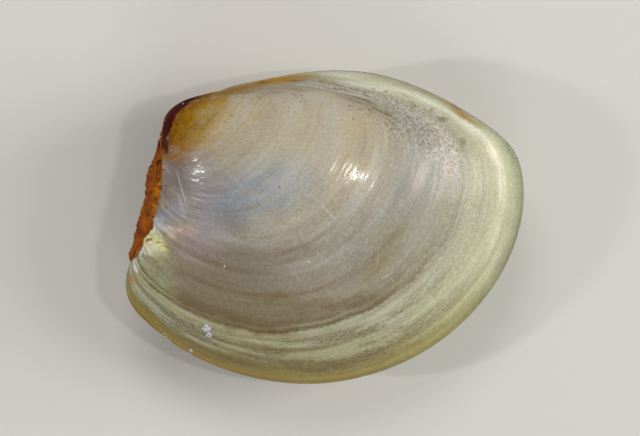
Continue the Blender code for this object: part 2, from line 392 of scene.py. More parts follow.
def innerSurface(side):
    edge = closedCurve(growth["edge"], growth["around"])
    beak = np.array(growth["beak"])
    angle = math.radians(growth["coilAxisDeg"])
    innerBeak = beak + growth["innerBeakShift"] * np.array([math.sin(angle), -math.cos(angle)])
    innerEdge = insetEdge(edge, beak)
    stages = np.linspace(0.0, growth["innerEnd"], growth["innerRings"] + 1)
    points = np.array([growthRing(innerEdge, s, innerBeak, growth["innerRiseLimit"]) for s in stages])
    points[..., 2] += growth["seam"] / 2.0
    return points * np.array([1.0, 1.0, side])


def extrudeRings(bm, loop, rings, firstNumber):  # one ring after another, closed at the middle of the last
    around = bm.verts.layers.int["around"]
    ringNumber = bm.verts.layers.int["ring"]
    for k, ring in enumerate(rings):
        inLoop = set(loop)
        edges = [e for v in loop for e in v.link_edges if e.other_vert(v) in inLoop]
        made = bmesh.ops.extrude_edge_only(bm, edges=list(dict.fromkeys(edges)))["geom"]
        loop = [g for g in made if isinstance(g, bmesh.types.BMVert)]
        for vert in loop:
            vert.co = Vector(ring[vert[around]]) * mm
            vert[ringNumber] = firstNumber + k
    middle = sum((v.co for v in loop), Vector()) / len(loop)
    bmesh.ops.pointmerge(bm, verts=loop, merge_co=middle)


def growValve(side, seed):  # a closed bmesh of one valve, with a growth UV map: turn around, stage of growth
    outer, pattern, spacing = outerSurface(side, seed)
    inner = innerSurface(side)
    count = growth["around"]
    bm = bmesh.new()
    around = bm.verts.layers.int.new("around")
    ringNumber = bm.verts.layers.int.new("ring")
    start = bmesh.ops.create_circle(bm, segments=count, radius=mm)["verts"]
    for i, vert in enumerate(start):
        vert[around] = i
        vert.co = Vector(outer[0][i]) * mm
    extrudeRings(bm, start, outer[1:], 1)
    extrudeRings(bm, start, inner, len(outer))
    bmesh.ops.recalc_face_normals(bm, faces=bm.faces)
    lineSpacing = bm.verts.layers.float.new("lineSpacing")
    for vert in bm.verts:
        if vert[ringNumber] < len(outer):
            vert[lineSpacing] = spacing[vert[ringNumber]][vert[around]]
    growthMap = bm.loops.layers.uv.new("growth")
    for face in bm.faces:
        places = [loop.vert[around] for loop in face.loops]
        wraps = max(places) - min(places) > count // 2
        face.material_index = int(min(loop.vert[ringNumber] for loop in face.loops) >= len(outer))
        for loop, place in zip(face.loops, places):
            number = loop.vert[ringNumber]
            stage = pattern[number][place] if number < len(outer) else 0.0
            turn = place + count if wraps and place < count // 2 else place
            loop[growthMap].uv = (turn / count, stage)
    settleFaces(bm)
    return bm


# the shell's finish: thin glossy horny skin over pearly aragonite, which shows every growth line

shellFinish = {
    "stageSpan": 2.2,          # radians of growth that the colour ramps cover
    "skin": {
        "wornRim": "#4a3a10",      # thick horny skin along today's edge
        "goldenRim": "#a0862a",    # the same, thin enough to glow
        "oliveRim": "#908238",
        "buff": "#b2ae84",         # the pale last growth
        "umber": "#867658",        # brown-grey, where the skin is older
        "mouse": "#948a74",
        "dun": "#86766a",
        "ochre": "#8e6618",        # worn umbo
        "rust": "#7e420a",
        "beakRed": "#4e1206",      # oldest shell, stained dark
        "greyRim": "#7c7c5c",
        "paleGreen": "#cacca6",
        "stone": "#aca890",
        "slate": "#989284",
        "cream": "#b2a892",
        "straw": "#b8a682",
        "gold": "#a27a24",
    },
    # skin colour by stage of growth, from today's edge to the beak
    "back": [
        (0.00, "wornRim"), (0.015, "goldenRim"), (0.06, "oliveRim"), (0.10, "buff"), (0.17, "buff"),
        (0.23, "umber"), (0.60, "mouse"), (1.15, "dun"), (1.28, "ochre"), (1.42, "rust"), (1.62, "beakRed"),
    ],
    "front": [
        (0.00, "greyRim"), (0.05, "paleGreen"), (0.18, "stone"), (0.34, "slate"), (0.60, "cream"),
        (1.00, "cream"), (1.30, "straw"), (1.60, "gold"), (1.82, "rust"), (1.98, "beakRed"),
    ],
    "frontTurns": (0.31, 0.60),    # where the back's colours give way to the front's
    "wavers": [(420.0, 2.0, 0.006), (5200.0, 3.0, 0.003)],  # noise per m, octaves, radians the bands waver by
    # stage, darkness, width outwards and width inwards of the brown lines left where growth paused
    "checks": [
        (0.048, 0.32, 0.004, 0.010),
        (0.120, 0.14, 0.004, 0.012), (0.190, 1.00, 0.006, 0.018), (0.212, 0.60, 0.001, 0.055),
        (0.330, 0.20, 0.020, 0.026), (0.430, 0.08, 0.012, 0.015), (0.510, 0.16, 0.016, 0.020),
        (0.680, 0.10, 0.018, 0.024), (0.830, 0.10, 0.016, 0.024),
        (1.160, 0.12, 0.020, 0.026),
    ],
    "checkColor": "#5c3f02",
    "checkTurns": (0.46, 0.64, 1.0, 0.2),      # the lines weaken from the belly to the front
    "brownBand": "#7a6536",
    "bandStages": (1.1, 0.25, 0.15, 0.7),      # brown bands from the umbo to the edge, with their strengths
    "calmTurns": (0.45, 0.62, 1.0, 0.35),      # the front has less of them
    "greyPearl": "#a3a29a",
    "innerStages": (0.25, 0.5),                # from where the skin is thin enough to show pearl
    "lineSpacing": 0.0105,     # radians between fine growth lines, 0.15 mm at the belly
    "lineHeight": 0.008,       # mm
    "grain": 7500.0,           # per m, mottling about 0.13 mm across
    "relief": {"striae": 0.15, "ridges": 2.7, "grain": 0.25},  # beside the fine lines' 0.7
    # how far past its size a patch fades out, and the share of it that is at full strength
    "fades": {"sheens": (1.35, 0.35), "gleams": (1.4, 0.1), "stains": (1.25, 0.7), "marks": (1.2, 0.6)},
    "bellyYellow": {
        "color": "#a8982a", "stages": (0.078, 0.025), "strength": 0.45, "turns": (0.30, 0.38, 0.50, 0.62)},
    "rimAmber": {
        "color": "#9c7e0c", "stages": (0.028, 0.010), "strength": 0.65, "turns": (0.18, 0.21, 0.38, 0.47)},
    "flecks": {                # worn skin outside the main pause
        "color": "#604c1c", "stages": (0.015, 0.045, 0.13, 0.18), "turns": (0.60, 0.46, 0.15, 1.0),
        "dash": (170.0, 250.0, 1.0), "cluster": (13.0, 34.0, 1.0)},
    "freckles": {              # dark, about 0.12 mm, on the hinge side of the front
        "color": "#584a32", "perMetre": 8200.0, "strength": 0.48, "patch": (4.6, 4.9, 2.6, 1.2, -36.0),
        "hingeStages": (0.185, 0.205, 0.24, 0.42), "hingeTurns": (0.62, 0.70, 0.80, 0.88),
        "looseStages": (0.08, 0.14, 0.20, 0.26), "looseTurns": (0.48, 0.56, 0.66, 0.74), "looseShare": 0.22,
        "pepper": 0.9},
    # directions of fine streaks: degrees, length and width in mm, noise levels that they set in between
    "threads": {               # brown, among the freckles
        "hairs": (-32.0, 0.5, 0.05, 0.54, 0.63), "patch": (2.3, 6.1, 2.3, 0.55, -27.0), "strength": 0.75},
    "scuffs": {                # hair-fine and pale
        "hairs": [(62.0, 0.9, 0.045, 0.60, 0.68), (-34.0, 0.7, 0.045, 0.61, 0.69)],
        "color": "#d8d4c6", "patch": (1.2, 0.0, 5.2, 3.2, 25.0), "strength": 0.30},
    "streaks": {               # slanted, over the umbo
        "hairs": [(50.0, 0.42, 0.05, 0.56, 0.63), (-42.0, 0.30, 0.045, 0.60, 0.66)],
        "color": "#9c840e", "patch": (-5.0, 5.2, 3.2, 1.8, 20.0), "strength": 0.8},
    "umbo": {
        "patch": (-6.1, 5.0, 2.6, 1.5, 30.0), "flakeColor": "#b88a1c", "flakes": 0.35,
        "fibreColor": "#64400a", "fibres": 0.5},
    "roughness": 0.42,
    "wornRoughness": 0.58,     # where the skin is gone
    "coat": 0.5,
    "wornCoat": 0.02,
    "coatRoughness": 0.13,
    "wornStages": (1.1, 1.3),
    "barePatch": (-8.0, -0.6, 1.7, 1.1, 50.0),
    "hingeEdgePatch": (-2.6, 7.2, 3.8, 0.75, 5.0),
    "nacre": ("#ddd8d0", "#c9cdd2"),
}

# The valves' own patches are given as x, y, half length and half width in mm, degrees, colour, strength.
crestStains = [  # dark red beaks of both valves
    (-7.92, 5.44, 1.15, 0.42, 58.0, "#521e08", 0.92),
    (-7.12, 6.09, 0.85, 0.20, 40.0, "#440c04", 1.0),
    (-7.80, 4.98, 0.72, 0.22, 69.0, "#440c04", 1.0),
    (-7.90, 4.1, 0.45, 0.15, 98.0, "#4c1004", 0.95),
]

rightValve = {
    "sheens": [  # broad and uneven
        (-5.6, 1.4, 2.6, 1.3, -62.0, "#898692", 0.50),     # blue-grey over the back slope
        (-2.9, 1.9, 3.2, 1.5, 18.0, "#8793a2", 0.75),      # blue-grey pearl below the umbo
        (0.4, -0.6, 2.4, 1.5, 20.0, "#7f7d74", 0.40),
        (0.2, 4.6, 3.6, 2.6, 8.0, "#b8a888", 0.45),        # warm cream
        (1.4, 2.7, 1.5, 1.1, 0.0, "#bca67c", 0.42),        # peach round the middle
        (1.7, 4.9, 0.6, 1.0, -10.0, "#b5a068", 0.40),
        (-3.4, -1.6, 3.0, 1.5, 12.0, "#807468", 0.45),     # mauve-brown lower middle
        (3.0, -1.0, 1.7, 0.8, 52.0, "#877c46", 0.50),      # olive-ochre
        (2.4, -2.1, 0.9, 0.5, 30.0, "#8a7d50", 0.45),
        (4.3, 4.9, 2.0, 0.9, -38.0, "#98988e", 0.50),      # grey mottled zone
        (6.1, 3.2, 2.0, 0.42, -78.0, "#c2b4ae", 0.55),     # pinkish: painted glare of the right light, in streaks
        (1.8, 6.35, 2.1, 0.42, -20.0, "#86754e", 0.70),    # brown under the hinge edge
        (-2.0, 6.75, 2.4, 0.26, 8.0, "#8c7c5c", 0.60),
        (0.4, -3.75, 3.2, 0.36, 8.0, "#7a6438", 0.65),     # brown growth bands of the belly
        (-2.6, -3.5, 1.4, 0.30, -8.0, "#7a6438", 0.65),
        (-3.4, -5.0, 2.6, 0.34, -10.0, "#785f34", 0.60),
        (-8.5, -3.7, 1.3, 0.42, -48.0, "#a3a69c", 0.80),   # pale blue-grey at the back corner
        (-6.2, -0.7, 1.4, 1.1, 30.0, "#a08c96", 0.60),     # purple-pink
        (-7.7, 2.1, 0.9, 1.3, -10.0, "#80706c", 0.85),     # dusky purple beside the crust
        # the violet-blue, bluish white, pink-orange, yellow-green and pinkish white patches here are bare
        # nacre with its iridescent sheen painted in
        (-7.75, 0.62, 0.75, 0.36, 20.0, "#7f7ba2", 0.70),   # violet-blue
        (-8.3, 0.15, 0.6, 0.35, 40.0, "#d8d8e4", 0.75),    # bluish white
        (-7.1, -0.25, 1.0, 0.45, 10.0, "#d0ac98", 0.50),   # pink-orange
        (-7.7, -0.1, 0.5, 0.26, -20.0, "#dcd8ca", 0.70),
        (-8.6, -0.80, 1.0, 0.70, -40.0, "#f4fab0", 1.0),   # painted yellow-green sheen of the bare nacre
        (-7.6, -2.4, 1.0, 0.30, -42.0, "#9c9a84", 0.45),
        (-8.0, -1.6, 0.9, 0.5, -35.0, "#a8aa78", 0.55),
        (-8.8, -1.2, 0.4, 0.28, -50.0, "#f0e6d6", 0.80),
        (-6.9, 5.1, 1.4, 1.0, 55.0, "#9a7008", 0.60),      # ochre of the umbo
        (-5.9, 5.55, 0.65, 0.45, 50.0, "#b4a07a", 0.55),   # and a paler worn spot
        (5.2, 5.9, 0.28, 0.22, 0.0, "#715833", 0.70),      # brown smudges by the front hinge edge
        (5.85, 5.45, 0.36, 0.11, -30.0, "#54421f", 0.95),
        (4.3, 6.15, 0.26, 0.14, -20.0, "#7c6136", 0.65),
        (6.9, 4.1, 0.11, 0.30, 20.0, "#6a5832", 0.70),
        (-9.45, -1.85, 0.40, 0.26, 48.0, "#f0ece8", 1.0),  # white ledge, its bright face a painted highlight
    ],
    # zones that follow the growth: four turns and four stages that they rise and fade at, colour, strength
    "zones": [
        ((0.18, 0.21, 0.28, 0.34), (0.050, 0.075, 0.125, 0.165), "#babaa0", 0.80),  # pale blue-grey, back
        # painted yellow-green sheen over the bare nacre
        ((0.18, 0.20, 0.235, 0.27), (0.185, 0.205, 0.24, 0.29), "#dcebb8", 0.45),
        ((0.22, 0.26, 0.33, 0.38), (0.55, 0.66, 0.80, 0.95), "#b0abaa", 0.50),
        ((0.64, 0.67, 0.73, 0.77), (0.20, 0.22, 0.26, 0.32), "#d4cac2", 0.35),  # painted pinkish-white highlights, front
        ((0.73, 0.78, 0.83, 0.89), (0.22, 0.27, 0.36, 0.44), "#c0c0b6", 0.60),
        ((0.27, 0.31, 0.44, 0.52), (0.012, 0.026, 0.055, 0.085), "#6c5c2c", 0.70),  # brown by the rim
        ((0.34, 0.42, 0.50, 0.58), (0.105, 0.140, 0.165, 0.185), "#c4c4ae", 0.50),  # pale last growth
    ],
    "gleams": [  # soft and narrow
        (3.7, 1.9, 2.4, 0.42, 64.0, "#8e9290", 0.40),      # grey-blue ripple
        (4.7, 2.5, 1.2, 0.32, 66.0, "#cbbab2", 0.60),      # pinkish ripple: painted glare of the right light through coarse relief
        (5.6, 1.9, 1.6, 0.36, 72.0, "#b9aca4", 0.35),
        (0.75, 7.62, 1.6, 0.18, -3.0, "#dadeca", 0.80),    # painted highlight along the radial ridge, in two strands, running on to the front shoulder
        (2.4, 6.98, 2.3, 0.20, -9.0, "#d6d8c5", 0.85),
        (5.2, 6.2, 1.5, 0.20, -26.0, "#dcdeca", 0.80),
        (7.3, 4.95, 1.3, 0.26, -36.0, "#e8e6d0", 0.80),
        (8.35, 3.7, 0.85, 0.34, -62.0, "#f2e6c8", 0.85),   # painted cream highlight where the rounded shoulder of the front catches the right light, running on down the edge
        (8.38, 3.75, 0.6, 0.14, -62.0, "#fff4dc", 0.80),
        (8.8, 2.2, 1.5, 0.26, -83.0, "#ece2c6", 0.75),
        (8.5, -0.2, 1.6, 0.22, -105.0, "#dcdab8", 0.50),
        (-4.5, 6.85, 2.5, 0.42, 14.0, "#a07c3e", 0.95),    # ochre along the hinge edge
        (-2.2, 7.36, 1.9, 0.28, 6.0, "#b4860c", 1.0),      # orange strip on the hinge edge
        (6.90, 5.58, 1.2, 0.19, -33.0, "#a07604", 1.0),    # orange-brown stain by the edge
        (-7.35, 4.2, 0.5, 1.1, 0.0, "#7e4a02", 0.55),
        (-5.7, 5.27, 0.65, 0.07, 58.0, "#96820c", 0.80),
        (-5.42, 5.5, 0.36, 0.05, 52.0, "#96820c", 0.70),  # streaks
        (-4.9, 6.3, 0.40, 0.06, 40.0, "#96820c", 0.75), (-6.95, 5.1, 0.65, 0.05, 50.0, "#8a6a04", 0.70),
        (-6.2, 4.55, 0.45, 0.06, 50.0, "#96800c", 0.60), (-6.6, 5.35, 0.55, 0.05, 47.0, "#8a6a04", 0.60),
        (-4.4, 5.9, 0.30, 0.05, 42.0, "#a08a20", 0.60),
        (-5.2, 6.62, 1.1, 0.20, 15.0, "#8a6a26", 0.80),
        *[(0.3 + 0.37 * k, 6.95 - 0.10 * k - 0.012 * k * k + 0.09 * (k % 3 - 1), 0.45, 0.035, -10.0 - 3.2 * k,
           "#5c4a26", 0.80) for k in range(9)],            # brown threads below the pale ridge
        (-3.1, 7.22, 0.5, 0.09, 8.0, "#7e5006", 0.70), (-1.4, 7.30, 0.6, 0.07, 2.0, "#86600e", 0.70),
        (-9.10, -1.10, 0.36, 0.08, 75.0, "#dce0e6", 0.90),  # painted highlight along the lower end of the crust
        (-9.28, -1.85, 0.20, 0.13, 60.0, "#cfe8c0", 0.80),
        (-9.48, -2.62, 0.45, 0.14, 95.0, "#b8906c", 0.75),  # pinkish and golden border of the back corner
        (-9.73, -2.52, 0.40, 0.17, 97.0, "#ac7c14", 1.0),
    ],
    "stains": [  # with firmer borders
        *crestStains,
        (-8.75, -0.62, 0.20, 0.08, 15.0, "#9a6a08", 0.90),
        (-8.2, -0.75, 0.22, 0.05, -10.0, "#a07410", 0.70),
        (-7.85, -0.95, 0.30, 0.05, -14.0, "#7c6a30", 0.60),
        (-7.85, 2.1, 0.07, 0.10, 0.0, "#a4701c", 0.70),
        (-7.9, 1.05, 0.06, 0.07, 0.0, "#a07828", 0.60),
        (-7.35, 5.1, 0.07, 0.06, 0.0, "#4a1a04", 0.80),
        (6.6, 5.95, 0.45, 0.05, -33.0, "#7a5004", 0.70),
        (5.6, 6.55, 0.8, 0.06, -30.0, "#9c8038", 0.60),
        (2.4, 6.9, 0.10, 0.04, -20.0, "#7c6238", 0.60), (3.0, 6.75, 0.14, 0.035, -10.0, "#7c6238", 0.55),
    ],
    "marks": [  # specks, then scratches and a painted reflection streak, then brown ticks by the hinge
        (-1.15, 6.5, 0.05, 0.05, 0.0, "#6a4a14", 0.9), (1.2, 6.0, 0.06, 0.05, 0.0, "#6a4a1c", 0.9),
        (1.4, 5.35, 0.05, 0.07, 0.0, "#86601c", 0.8), (-2.25, 2.0, 0.06, 0.05, 0.0, "#4c4640", 0.8),
        (-5.85, -1.35, 0.07, 0.05, 10.0, "#5e4238", 0.8), (2.2, 5.8, 0.07, 0.06, 20.0, "#6e4a28", 0.8),
        (-4.95, -1.9, 0.05, 0.05, 0.0, "#e6dccb", 0.9), (-0.8, -1.7, 0.05, 0.04, 0.0, "#e6e0d2", 0.9),
        (0.0, 0.95, 0.42, 0.020, -52.0, "#d9d6cc", 0.7), (0.32, 0.6, 0.30, 0.018, -40.0, "#d9d6cc", 0.6),
        (-1.15, -0.35, 0.26, 0.018, -75.0, "#cfc9be", 0.6), (2.6, -1.55, 0.42, 0.018, 84.0, "#cfcab8", 0.6),
        (3.1, -2.35, 0.36, 0.018, 28.0, "#d2ccb8", 0.6), (3.35, -2.6, 0.20, 0.018, -50.0, "#d2ccb8", 0.6),
        # painted reflection: a white streak of light down the fold of the back slope, with a softer bluish
        # band over its lower half
        (-7.05, 1.85, 1.1, 0.028, -74.0, "#cfd0d8", 0.65), (-7.08, 1.1, 0.55, 0.13, -72.0, "#b9bcc8", 0.35),
        (-7.30, 5.5, 0.24, 0.020, 62.0, "#d8b060", 0.5), (-6.4, 5.6, 0.26, 0.016, 40.0, "#c89a34", 0.4),
        (-6.2, 5.0, 0.34, 0.014, -35.0, "#5a4a10", 0.6), (-5.9, 4.85, 0.16, 0.014, -20.0, "#5a4a10", 0.6),
        (-3.7, -0.3, 0.30, 0.016, 70.0, "#bcb6ae", 0.5), (0.9, -0.9, 0.24, 0.016, 60.0, "#cdc7ba", 0.5),
        (3.9, -0.6, 0.26, 0.016, 35.0, "#cfc9b4", 0.5), (2.0, -3.3, 0.20, 0.018, 15.0, "#cfc9b4", 0.5),
        *[(-4.75 + 0.16 * k, 6.86 + 0.03 * k, 0.15, 0.024, 80.0, "#8a4c1c", 0.7) for k in range(6)],
    ],
}

leftValve = {
    "sheens": [
        (-3.6, 1.4, 3.0, 1.7, 22.0, "#8d95a0", 0.60),
        (0.6, 4.3, 3.4, 2.4, 5.0, "#b4a684", 0.45),
        (2.6, -0.6, 2.2, 0.9, 40.0, "#8c8150", 0.45),
        (-3.0, -2.2, 3.2, 1.2, 6.0, "#807468", 0.45),
        (-0.6, -4.0, 3.4, 0.36, 4.0, "#7a6438", 0.50),
        # pinkish: painted glare, as on the right valve
        (5.4, 3.6, 1.8, 0.8, -60.0, "#b8aca6", 0.40),
        (-7.4, 1.0, 0.9, 1.5, -10.0, "#80706c", 0.60),
        # yellow-green: painted sheen of bare nacre, as on the right valve
        (-8.3, -1.0, 0.9, 0.7, -35.0, "#c8ca98", 0.60),
        (-6.9, 5.1, 1.6, 1.1, 55.0, "#966a06", 0.50),
        (-3.6, 7.0, 2.8, 0.45, 10.0, "#a0803e", 0.75),
        (6.8, 5.7, 1.4, 0.25, -34.0, "#a27c34", 0.60),
    ],
    "zones": [],
    "gleams": [],
    "stains": crestStains,
    "marks": rightValve["marks"][:4],
}


def shellFields(tree, seed):  # what a valve's colours, relief and gloss are worked out from
    at = SimpleNamespace()
    look = shellFinish
    at.place = addNode(tree, coordinates, output="Object")
    growthUv = addNode(tree, ("ShaderNodeUVMap", {"uv_map": "growth"}))
    split = addNode(tree, separate, growthUv).node
    at.turn, at.stage = split.outputs["X"], split.outputs["Y"]
    at.spacing = addNode(tree, ("ShaderNodeAttribute", {"attribute_name": "lineSpacing"}), output="Fac")
    at.seededUv = addNode(tree, vectorAdd, growthUv, (3.0 * seed, 7.0 * seed, 0.0))
    wavers = []
    for scale, detail, reach in look["wavers"]:
        cloud = addNode(tree, speckle, at.place, Scale=scale, Detail=detail)
        wavers.append(addNode(tree, ease, cloud, 0.3, 0.7, -reach, reach))
    at.wavyStage = addNode(tree, add, at.stage, addNode(tree, add, *wavers))
    at.share = addNode(tree, divide, at.wavyStage, look["stageSpan"])
    at.ragged = wanderPlace(tree, at.place, 900.0, 1.3)
    at.grainy = wanderPlace(tree, at.ragged, 5000.0, 0.35)
    at.nearPlace = wanderPlace(tree, at.place, 4500.0, 0.22)
    at.softPlace = wanderPlace(tree, at.place, 500.0, 0.8)
    at.frontCalm = addNode(tree, ease, at.turn, *look["calmTurns"])
    at.inner = addNode(tree, ease, at.stage, *look["innerStages"])
    return at


def growthPattern(tree, uv, scale, **settings):  # noise drawn out along the growth lines
    return addNode(tree, speckle, addNode(tree, stretch, uv, Scale=scale), Scale=1.0, **settings)


def addLinePatterns(tree, at, seed):  # in step with the shrinking, so that the lines stay evenly spaced
    shrunk = addNode(tree, exponent, addNode(tree, multiply, at.stage, -growth["shrink"]))
    evenUv = addNode(tree, combine, at.turn, shrunk, 5.0 * seed)
    perRadian = 1.0 / shellFinish["lineSpacing"]
    at.lines = growthPattern(tree, evenUv, (12.0, perRadian, 1.0), Roughness=0.6)
    at.ridges = growthPattern(tree, evenUv, (26.0, 0.60 * perRadian, 1.0), Detail=1.0)
    at.arcs = growthPattern(tree, evenUv, (5.0, 0.16 * perRadian, 1.0), Detail=3.0, Roughness=0.55)
    at.striae = growthPattern(tree, at.seededUv, (560.0, 5.0, 1.0), Detail=1.0)
    at.grain = addNode(tree, speckle, at.place, Scale=shellFinish["grain"], Roughness=0.6)


def growthRamp(tree, share, stops):
    skin = shellFinish["skin"]
    shades = [(where / shellFinish["stageSpan"], toLinear(skin[name])) for where, name in stops]
    return setStops(addNode(tree, colorRamp, share), shades)


def checkRamp(tree, share):
    span = shellFinish["stageSpan"]
    none = (0.0, 0.0, 0.0, 1.0)
    stops = [(0.0, none)]
    for stage, dark, outwards, inwards in shellFinish["checks"]:
        stops += [((stage - outwards) / span, none), (stage / span, (dark, dark, dark, 1.0))]
        stops += [((stage + inwards) / span, none)]
    return setStops(addNode(tree, colorRamp, share), stops)


def paintGrowth(tree, at, valve):  # skin colours from today's edge to the beak, under the valve's own tints
    look = shellFinish
    back, front = growthRamp(tree, at.share, look["back"]), growthRamp(tree, at.share, look["front"])
    color = addNode(tree, mix, addNode(tree, ease, at.turn, *look["frontTurns"]), back, front)
    patchy = growthPattern(tree, at.seededUv, (36.0, 40.0, 1.0), Detail=4.0, Roughness=0.65)
    patchy = addNode(tree, ease, patchy, 0.35, 0.62, 0.5, 1.0)
    color = paintPatches(tree, color, valve["sheens"], at.grainy, look["fades"]["sheens"], patchy)
    for turns, stages, shade, most in valve["zones"]:
        turnShare = between(tree, at.turn, *turns)
        within = addNode(tree, multiply, turnShare, between(tree, at.wavyStage, *stages))
        within = addNode(tree, multiply, within, addNode(tree, multiply, patchy, most))
        color = addNode(tree, mix, within, color, toLinear(shade))
    return paintPatches(tree, color, valve["gleams"], at.nearPlace, look["fades"]["gleams"])


def paintEdge(tree, color, stage, turn, edge):  # thicker skin glows yellow and amber along today's edge
    towardsEdge = addNode(tree, ease, stage, *edge["stages"], 0.0, edge["strength"])
    strength = addNode(tree, multiply, towardsEdge, between(tree, turn, *edge["turns"]))
    return addNode(tree, mix, strength, color, toLinear(edge["color"]))


def paintPauses(tree, at, color):  # brown bands where growth slowed, and sharper lines where it paused
    look = shellFinish
    bands = growthPattern(tree, at.seededUv, (4.0, 26.0, 1.0), Detail=3.0)
    bands = addNode(tree, ease, bands, 0.5, 0.72)
    bands = addNode(tree, multiply, bands, addNode(tree, ease, at.stage, *look["bandStages"]))
    bands = addNode(tree, multiply, bands, at.frontCalm)
    color = addNode(tree, mix, bands, color, toLinear(look["brownBand"]))
    broken = growthPattern(tree, at.seededUv, (60.0, 30.0, 1.0), Detail=4.0, Roughness=0.7)
    broken = addNode(tree, ease, broken, 0.3, 0.6, 0.5, 1.0)
    fading = addNode(tree, multiply, addNode(tree, ease, at.turn, *look["checkTurns"]), broken)
    checks = addNode(tree, multiply, checkRamp(tree, at.share), fading)
    return addNode(tree, mix, checks, color, toLinear(look["checkColor"]))


def paintLines(tree, at, color):  # grey pearl arcs, fine growth lines, radial striae and grain
    greyArcs = addNode(tree, multiply, addNode(tree, ease, at.arcs, 0.50, 0.64, 0.0, 0.45), at.inner)
    color = addNode(tree, mix, greyArcs, color, toLinear(shellFinish["greyPearl"]))
    lineShare = addNode(tree, ease, at.stage, 0.2, 0.7, 1.0, 0.45)
    color = addNode(tree, tint, at.inner, color, greyShade(tree, at.arcs, 0.32, 0.68, 0.91, 1.11))
    color = addNode(tree, tint, lineShare, color, greyShade(tree, at.lines, 0.3, 0.7, 0.91, 1.07))
    color = addNode(tree, tint, at.frontCalm, color, greyShade(tree, at.striae, 0.3, 0.7, 0.955, 1.045))
    return addNode(tree, tint, 1.0, color, greyShade(tree, at.grain, 0.3, 0.7, 0.90, 1.10))


def paintFlecks(tree, at, color):  # brown flecks of worn horny skin outside the main pause
    flecks = shellFinish["flecks"]
    dash = growthPattern(tree, at.seededUv, flecks["dash"], Detail=3.0, Roughness=0.7)
    cluster = growthPattern(tree, at.seededUv, flecks["cluster"], Detail=3.0)
    byTurn = addNode(tree, ease, at.turn, *flecks["turns"])
    zone = addNode(tree, multiply, between(tree, at.stage, *flecks["stages"]), byTurn)
    cloud = addNode(tree, multiply, addNode(tree, ease, cluster, 0.44, 0.60, 0.0, 0.5), zone)
    color = addNode(tree, mix, cloud, color, toLinear(shellFinish["brownBand"]))
    grouped = addNode(tree, ease, cluster, 0.40, 0.58, 0.16, 0.72)
    worn = addNode(tree, multiply, addNode(tree, ease, dash, 0.48, 0.58), grouped)
    return addNode(tree, mix, addNode(tree, multiply, worn, zone), color, toLinear(flecks["color"]))


def paintFreckles(tree, at, color):  # with fine brown threads, on the hinge side of the front
    freckles, threads = shellFinish["freckles"], shellFinish["threads"]
    spots = addNode(tree, speckle, at.place, Scale=freckles["perMetre"], Roughness=0.55)
    spots = addNode(tree, ease, spots, 0.545, 0.61)
    byHinge, loose = [
        addNode(tree, multiply, between(tree, at.stage, *freckles[where + "Stages"]),
                between(tree, at.turn, *freckles[where + "Turns"]))
        for where in ("hinge", "loose")]
    zone = addNode(tree, larger, patchShare(tree, at.ragged, freckles["patch"]), byHinge)
    zone = addNode(tree, larger, zone, addNode(tree, multiply, loose, freckles["looseShare"]))
    spots = addNode(tree, multiply, spots, addNode(tree, multiply, zone, freckles["strength"]))
    color = addNode(tree, mix, spots, color, toLinear(freckles["color"]))
    peppered = addNode(tree, multiply, zone, freckles["pepper"])
    color = addNode(tree, tint, peppered, color, greyShade(tree, at.grain, 0.35, 0.65, 0.87, 1.30))
    within = patchShare(tree, at.grainy, threads["patch"])
    lines = addNode(tree, multiply, hairs(tree, at.softPlace, *threads["hairs"]), within)
    lines = addNode(tree, multiply, lines, threads["strength"])
    return addNode(tree, mix, lines, color, toLinear(shellFinish["flecks"]["color"]))


def crossedHairs(tree, at, directions):
    return addNode(tree, larger, *[hairs(tree, at.softPlace, *direction) for direction in directions])


def paintScuffs(tree, at, color):
    scuffs = shellFinish["scuffs"]
    within = patchShare(tree, at.ragged, scuffs["patch"])
    lines = addNode(tree, multiply, crossedHairs(tree, at, scuffs["hairs"]), within)
    lines = addNode(tree, multiply, lines, scuffs["strength"])
    return addNode(tree, mix, lines, color, toLinear(scuffs["color"]))


def paintUmbo(tree, at, color):  # ochre flakes and slanted streaks, with a few dark fibres
    umbo, streaks = shellFinish["umbo"], shellFinish["streaks"]
    within = patchShare(tree, at.ragged, umbo["patch"], 1.3, 0.2)
    flakes = addNode(tree, speckle, at.place, Scale=2600.0, Detail=4.0, Roughness=0.7)
    flakes = addNode(tree, ease, flakes, 0.44, 0.60)
    flakes = addNode(tree, multiply, flakes, addNode(tree, multiply, within, umbo["flakes"]))
    color = addNode(tree, mix, flakes, color, toLinear(umbo["flakeColor"]))
    streaked = patchShare(tree, at.ragged, streaks["patch"], 1.3, 0.3)
    lines = addNode(tree, multiply, crossedHairs(tree, at, streaks["hairs"]), streaked)
    clumps = addNode(tree, ease, addNode(tree, speckle, at.place, Scale=900.0, Detail=3.0), 0.46, 0.60)
    lines = addNode(tree, multiply, addNode(tree, multiply, lines, clumps), streaks["strength"])
    color = addNode(tree, mix, lines, color, toLinear(streaks["color"]))
    fibres = addNode(tree, subtract, addNode(tree, speckle, at.place, Scale=1300.0, Detail=3.0), 0.52)
    fibres = addNode(tree, ease, addNode(tree, absolute, fibres), 0.006, 0.002)
    fibres = addNode(tree, multiply, addNode(tree, multiply, fibres, within), umbo["fibres"])
    return addNode(tree, mix, fibres, color, toLinear(umbo["fibreColor"]))


def raiseLines(tree, at, finish):  # relief too fine for the mesh, lower where growth lines crowd together
    height = addNode(tree, multiply, at.lines, 0.7)
    for name, share in shellFinish["relief"].items():
        height = addNode(tree, add, height, addNode(tree, multiply, getattr(at, name), share))
    height = addNode(tree, multiply, height, addNode(tree, power, at.spacing, 0.6))
    raised = addNode(tree, bumps, Strength=1.0, Distance=shellFinish["lineHeight"] * mm, Height=height)
    tree.links.new(raised, finish.inputs["Normal"])
    tree.links.new(raised, finish.inputs["Coat Normal"])


